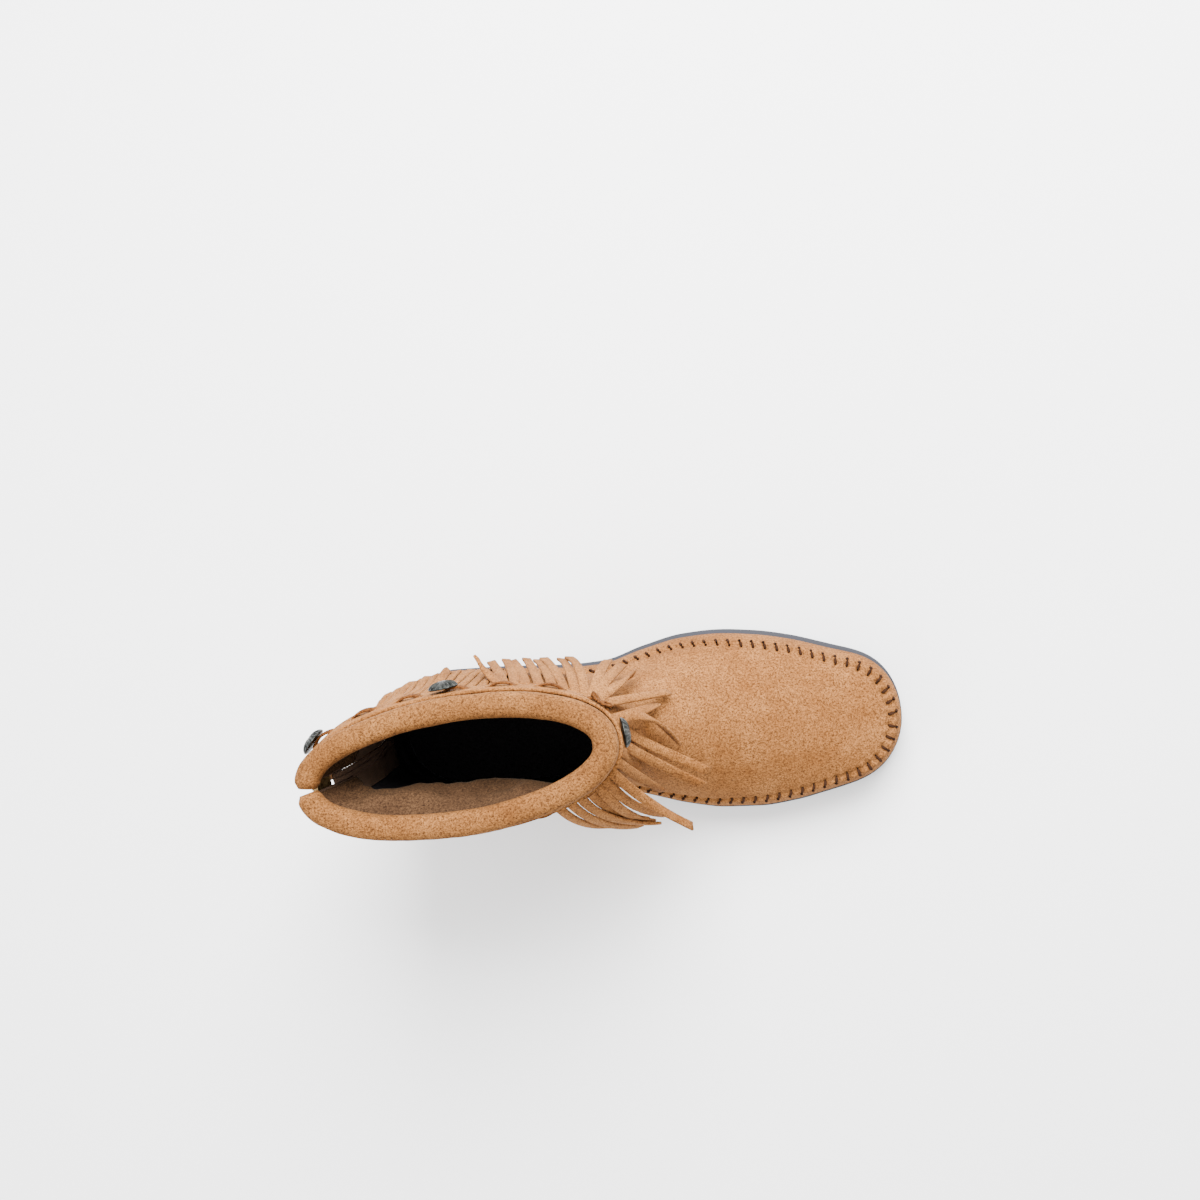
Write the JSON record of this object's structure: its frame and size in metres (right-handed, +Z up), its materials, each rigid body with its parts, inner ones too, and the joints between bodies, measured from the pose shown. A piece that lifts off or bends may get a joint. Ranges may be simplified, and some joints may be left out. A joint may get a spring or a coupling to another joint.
{
  "type": "moccasin boot",
  "caption": "Empty left moccasin ankle boot: hollow suede upper, moulded sole, padded collar, fringe on a laced band, domed buttons and a back zip.",
  "frame": {"origin": "on the floor, at the middle of the heel's flat underside", "axes": "+X along the boot to its toe, +Y to the outer side of the foot, +Z up"},
  "size_m": [0.2703, 0.0917, 0.1491],
  "materials": {
    "rubber": "matt moulded rubber, blue grey",
    "insole": "dark cloth cover",
    "suede": "sand suede with a soft nap",
    "collar_suede": "sand suede, padded",
    "fringe_suede": "sand suede, cut edges",
    "lace_suede": "sand suede lace",
    "dark_metal": "dark polished gunmetal",
    "zip_tape": "brown woven tape",
    "zip_metal": "aged brass"
  },
  "bodies": {
    "boot": {"outsole": "rubber", "insole": "insole", "upper": "suede", "collar": "collar_suede", "fringe": "fringe_suede", "lace": "lace_suede", "button_front": "dark_metal", "button_outer_mid": "dark_metal", "button_outer_back": "dark_metal", "zip_tape_outer": "zip_tape", "zip_tape_inner": "zip_tape", "zip_chain": "zip_metal", "zip_slider": "zip_metal"},
    "pull": {"zip_pull": "zip_metal"}
  },
  "joints": [
    {"name": "pull_swing", "type": "hinge", "parent": "boot", "child": "pull", "pos_m": [-0.04095, -0.01252, 0.12427], "axis": [-0.1768, 0.9786, 0.1056], "range_deg": [-8, 150]}
  ]
}
